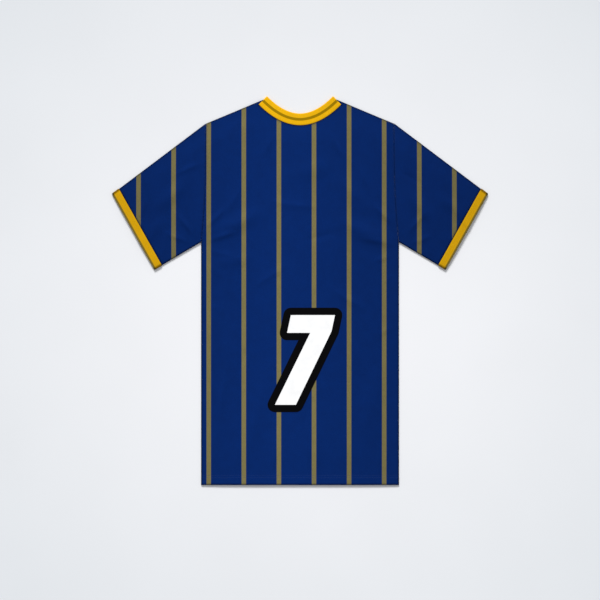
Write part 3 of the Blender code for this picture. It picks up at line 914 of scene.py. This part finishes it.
def number_outline():
    """The seven corners of the figure, anticlockwise from the top bar's left end."""
    bar_foot = NUMBER_TOP_Y - BAR_DEPTH
    foot = NUMBER_TOP_Y - NUMBER_HEIGHT
    knee_x = BAR_RIGHT_X - BAR_SLANT * (BAR_DEPTH - KNEE_RISE) / BAR_DEPTH
    return (
        (BAR_LEFT_X, NUMBER_TOP_Y),
        (BAR_LEFT_X - BAR_SLANT, bar_foot),
        (LEG_TOP_X, bar_foot),
        (LEG_FOOT_X, foot),
        (LEG_FOOT_X + LEG_WIDTH, foot),
        (knee_x, bar_foot + KNEE_RISE),
        (BAR_RIGHT_X, NUMBER_TOP_Y),
    )


def widened(outline, border):
    """The outline moved out by a border, round at its outer corners and sharp at its inner ones."""
    corners = np.array(outline)
    result = []
    for before, corner, after in zip(np.roll(corners, 1, 0), corners, np.roll(corners, -1, 0)):
        first = (corner - before) / np.linalg.norm(corner - before)
        second = (after - corner) / np.linalg.norm(after - corner)
        out_first = np.array((first[1], -first[0]))
        out_second = np.array((second[1], -second[0]))
        if first[0] * second[1] - first[1] * second[0] > 0:
            start = math.atan2(out_first[1], out_first[0])
            swing = (math.atan2(out_second[1], out_second[0]) - start) % (2 * math.pi)
            for step in range(BORDER_ARC_STEPS + 1):
                angle = start + swing * step / BORDER_ARC_STEPS
                result.append(corner + border * np.array((math.cos(angle), math.sin(angle))))
        else:
            both = out_first + out_second
            result.append(corner + both * border / (1.0 + out_first @ out_second))
    return result


def film_object(name, outline, lift):
    """A thin film cut to an outline and pressed onto the back's surface."""
    sheet = bmesh.new()
    sheet.faces.new([sheet.verts.new((x, y, 0.0)) for x, y in outline])
    low = np.min(outline, axis=0)
    high = np.max(outline, axis=0)
    for axis in (0, 1):
        normal = (1.0 - axis, float(axis), 0.0)
        for place in np.arange(low[axis] + FILM_CELL, high[axis], FILM_CELL):
            bmesh.ops.bisect_plane(
                sheet, geom=sheet.verts[:] + sheet.edges[:] + sheet.faces[:],
                plane_co=[place * part for part in normal], plane_no=normal, dist=MERGE)
    bmesh.ops.triangulate(sheet, faces=[face for face in sheet.faces if len(face.verts) > 4])
    places = np.array([point.co[:2] for point in sheet.verts])
    heights = back_height(places[:, 0], places[:, 1])
    for point, height in zip(sheet.verts, heights):
        point.co.z = height + lift
    if sheet.faces[:][0].normal.z < 0:
        bmesh.ops.reverse_faces(sheet, faces=sheet.faces)
    data = bpy.data.meshes.new(name)
    sheet.to_mesh(data)
    sheet.free()
    data.shade_smooth()
    piece = bpy.data.objects.new(name, data)
    bpy.context.scene.collection.objects.link(piece)
    return give_thickness(piece, FILM, rim_round=0.0)


def film_material(name, colour, rough):
    """Pressed film: satin and slightly rubbery, with the knit under it showing faintly."""
    shader = Shader(name)
    place = shader.tree.nodes.new("ShaderNodeTexCoord").outputs["Object"]
    x, y = shader.axes(place)[:2]
    loops = knit_height(shader, x, y)
    mottle = shader.noise(place, scale=60.0, detail=3.0)
    tinted = shader.blend(1.0, colour, shader.spread(mottle, 0.95, 1.03), "MULTIPLY")
    shader.bump(shader.math("MULTIPLY_ADD", mottle, 0.5, loops), distance=0.00004)
    return shader.finish(Base_Color=tinted, Roughness=rough, Specular_IOR_Level=0.04)


border_film = film_object("number_border", widened(number_outline(), BORDER), FILM_LIFT + FILM)
border_film.data.materials.append(film_material("black_film", BLACK_FILM, rough=0.75))
figure_film = film_object("number_figure", number_outline(), FILM_LIFT + 2 * FILM + FILM_GAP)
figure_film.data.materials.append(film_material("white_film", WHITE_FILM, rough=0.65))
for film in (border_film, figure_film):
    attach(film, "root")


# Stitching
# Navy thread. Two rows of twin-needle stitches hold up the hem, back and front, and flatten the armhole
# seams; one row beside the collar and one beside each cuff hold the seam allowance down.

STITCH_PITCH = 0.0031
STITCH_LENGTH = 0.0024
THREAD = 0.00042
TOPSTITCH = 0.0024
STITCH_SINK = 0.00004
FRONT_LIFT = 0.00002
HEM_ENDS = 0.002
HEM_POINTS = 240
NECK_END = 0.985
ARMHOLE_ENDS = 0.004
ARM_POINTS = 120
SLEEVE_ENDS = 0.012
THREAD_NAVY = (0.0060, 0.0300, 0.1500, 1.0)


def stitch_tree():
    """Geometry nodes that lay even stitches along the edges of a mesh."""
    tree = bpy.data.node_groups.new("row_of_stitches", "GeometryNodeTree")
    sockets = {}
    kinds = {"Path": "Geometry", "Pitch": "Float", "Length": "Float", "Thread": "Float",
             "Seed": "Int", "Finish": "Material"}
    for name, kind in kinds.items():
        sockets[name] = tree.interface.new_socket(name, in_out="INPUT", socket_type="NodeSocket" + kind)
    tree.interface.new_socket("Stitches", in_out="OUTPUT", socket_type="NodeSocketGeometry")
    given = tree.nodes.new("NodeGroupInput").outputs

    def add(kind, inputs, **settings):
        """A node whose inputs, by name or number, are set to values or linked to other nodes' outputs."""
        node = tree.nodes.new(kind)
        for key, value in settings.items():
            setattr(node, key, value)
        for key, value in inputs.items():
            if isinstance(value, bpy.types.NodeSocket):
                tree.links.new(value, node.inputs[key])
            else:
                node.inputs[key].default_value = value
        return node.outputs

    path = add("GeometryNodeMeshToCurve", {"Mesh": given["Path"]})
    even = add("GeometryNodeResampleCurve", {"Curve": path["Curve"], "Length": given["Pitch"]}, mode="LENGTH")
    tangent = add("GeometryNodeInputTangent", {})
    turn = add("FunctionNodeAlignRotationToVector", {"Vector": tangent["Tangent"]}, axis="X")
    stitch = add("GeometryNodeMeshUVSphere", {"Segments": 6, "Rings": 5, "Radius": 0.5})
    uneven = add("FunctionNodeRandomValue", {2: 0.9, 3: 1.1, "Seed": given["Seed"]})
    length = add("ShaderNodeMath", {0: given["Length"], 1: uneven[1]}, operation="MULTIPLY")
    size = add("ShaderNodeCombineXYZ", {0: length[0], 1: given["Thread"], 2: given["Thread"]})
    place = add("GeometryNodeInstanceOnPoints", {
        "Points": even["Curve"], "Instance": stitch["Mesh"], "Rotation": turn["Rotation"], "Scale": size[0]})
    whole = add("GeometryNodeRealizeInstances", {"Geometry": place["Instances"]})
    smooth = add("GeometryNodeSetShadeSmooth", {"Geometry": whole["Geometry"]})
    finish = add("GeometryNodeSetMaterial", {"Geometry": smooth["Geometry"], "Material": given["Finish"]})
    add("NodeGroupOutput", {"Stitches": finish["Geometry"]})
    return tree, {name: socket.identifier for name, socket in sockets.items()}


def thread_material():
    """Polyester thread in the jersey's navy, its twist showing as light and dark along it."""
    shader = Shader("navy_thread")
    place = shader.tree.nodes.new("ShaderNodeTexCoord").outputs["Object"]
    ply = shader.noise(place, scale=2600.0, detail=1.0)
    colour = shader.blend(1.0, THREAD_NAVY, shader.spread(ply, 0.7, 1.3), "MULTIPLY")
    shader.bump(ply, distance=0.00008)
    return shader.finish(Base_Color=colour, Roughness=0.5, Specular_IOR_Level=0.3)


STITCHES, STITCH_INPUTS = stitch_tree()
THREAD_FINISH = thread_material()


def sew(name, rows, seed):
    """Rows of stitches along lists of points."""
    data = bpy.data.meshes.new(name)
    points = []
    edges = []
    for row in rows:
        start = len(points)
        points.extend(row.tolist())
        edges.extend((place, place + 1) for place in range(start, len(points) - 1))
    data.from_pydata(points, edges, [])
    piece = bpy.data.objects.new(name, data)
    bpy.context.scene.collection.objects.link(piece)
    rows_modifier = piece.modifiers.new("stitches", "NODES")
    rows_modifier.node_group = STITCHES
    values = {"Pitch": STITCH_PITCH, "Length": STITCH_LENGTH, "Thread": THREAD, "Seed": seed,
              "Finish": THREAD_FINISH}
    for key, value in values.items():
        rows_modifier[STITCH_INPUTS[key]] = value
    plain_mesh(piece)
    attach(piece, "root")
    return piece


def on_back(x, y):
    """Points of a row on the back's outer face."""
    return np.column_stack((x, y, back_height(x, y) - STITCH_SINK))


def on_sleeve(side, along, across):
    """Points of a row on a sleeve's upper face, at shares along it and across it."""
    place = np.array([sleeve_place(k, np.array((s,)))[0] for k, s in zip(along, across)])
    x, y = side * place[:, 0], place[:, 1]
    full = np.array([sleeve_fullness(k, np.array((s,)))[0] for k, s in zip(along, across)])
    return np.column_stack((x, y, LAYER + WALL + full * loose_height(x, y) - STITCH_SINK))


hem_x = np.linspace(-HALF_CHEST + HEM_ENDS, HALF_CHEST - HEM_ENDS, HEM_POINTS)
hem_rows = (HEM_Y + HEM_DEPTH, HEM_Y + HEM_DEPTH - TWIN_GAP)
back_rows = [on_back(hem_x, np.full_like(hem_x, y)) for y in hem_rows]
front_rows = []
for y in hem_rows:
    lift = creases(FRONT_HOLLOWS, hem_x, np.full_like(hem_x, y))
    front_rows.append(np.column_stack((hem_x, np.full_like(hem_x, y), lift + THREAD / 2 + FRONT_LIFT)))
neck_shares = np.linspace(0.0, NECK_END, NECK_POINTS)
neck_row = np.array([neck_seam(BACK_NECK, share, COLLAR_WIDTH / 2 + TOPSTITCH) for share in neck_shares])
neck_row = np.concatenate((neck_row[:0:-1] * (-1.0, 1.0), neck_row))
back_rows.append(on_back(neck_row[:, 0], neck_row[:, 1]))
arm_y = np.linspace(SHOULDER_Y - ARMHOLE_ENDS, UNDERARM_Y + ARMHOLE_ENDS, ARM_POINTS)
for side in (-1.0, 1.0):
    back_rows.append(on_back(side * (side_x(arm_y) - TOPSTITCH), arm_y))
back_stitches = sew("stitches_back", back_rows, seed=3)
front_stitches = sew("stitches_front", front_rows, seed=5)

for hand, side in (("left", -1.0), ("right", 1.0)):
    across = np.linspace(SLEEVE_ENDS, 1.0 - SLEEVE_ENDS, ARM_POINTS)
    run = np.linalg.norm(SLEEVE_TOP - np.array((SHOULDER_X, SHOULDER_Y)))
    rows = [on_sleeve(side, np.full_like(across, TOPSTITCH / run), across)]
    rows.append(on_sleeve(side, np.full_like(across, 1.0 - TOPSTITCH / run), across))
    sew("stitches_sleeve_" + hand, rows, seed=7)


# Table and light
# A plain pale table, seen from straight above as in the photograph, with one broad light from the neck's side
# and a pale room all round.

TABLE_SIZE = 24.0
TABLE_LIT_MIDDLE = (0.880, 0.878, 0.898, 1.0)
TABLE_SHADED_EDGE = (0.690, 0.718, 0.745, 1.0)
TABLE_LIGHT_FADE = (0.05, 1.00)
VIEW_WIDTH = 1.2352
VIEW_CENTRE = (0.0, -0.0194)
LENS_MM = 100.0
SENSOR_MM = 36.0
ROOM_COLOUR = (0.97, 0.98, 1.0, 1.0)
ROOM_STRENGTH = 0.50
SUN_STRENGTH = 3.64
SUN_WIDTH = math.radians(16)
SUN_TURN = (math.radians(-60), 0.0, math.radians(9))
TABLE_CLEAR = 0.0002

bpy.ops.mesh.primitive_plane_add(size=TABLE_SIZE, location=(0.0, 0.0, -TABLE_CLEAR))
table = bpy.context.object
table.name = "table"
pale = Shader("pale_table")
place = pale.tree.nodes.new("ShaderNodeTexCoord").outputs["Object"]
# Painted light: the table's colour fades from lighter in its middle to darker at its edges, a painted pool of
# light
from_middle = pale.tree.nodes.new("ShaderNodeVectorMath")
from_middle.operation = "LENGTH"
pale.put(from_middle.inputs[0], place)
fade = pale.add("ShaderNodeMapRange", from_middle.outputs["Value"], *TABLE_LIGHT_FADE, 0.0, 1.0)
grain = pale.spread(pale.noise(place, scale=4.0, detail=2.0), 0.99, 1.01)
colour = pale.blend(1.0, pale.blend(fade, TABLE_LIT_MIDDLE, TABLE_SHADED_EDGE), grain, "MULTIPLY")
table.data.materials.append(pale.finish(Base_Color=colour, Roughness=0.9, Specular_IOR_Level=0.1))

world = bpy.data.worlds.new("studio")
world.use_nodes = True
room = world.node_tree.nodes["Background"]
room.inputs["Color"].default_value = ROOM_COLOUR
room.inputs["Strength"].default_value = ROOM_STRENGTH
bpy.context.scene.world = world

sun_data = bpy.data.lights.new("sun", "SUN")
sun_data.energy = SUN_STRENGTH
sun_data.angle = SUN_WIDTH
sun = bpy.data.objects.new("sun", sun_data)
sun.rotation_euler = SUN_TURN
bpy.context.scene.collection.objects.link(sun)

camera_data = bpy.data.cameras.new("camera")
camera_data.lens = LENS_MM
camera_data.sensor_width = SENSOR_MM
camera = bpy.data.objects.new("camera", camera_data)
camera.location = (*VIEW_CENTRE, VIEW_WIDTH * LENS_MM / SENSOR_MM)
bpy.context.scene.collection.objects.link(camera)
bpy.context.scene.camera = camera
bpy.context.scene.view_settings.view_transform = "Standard"
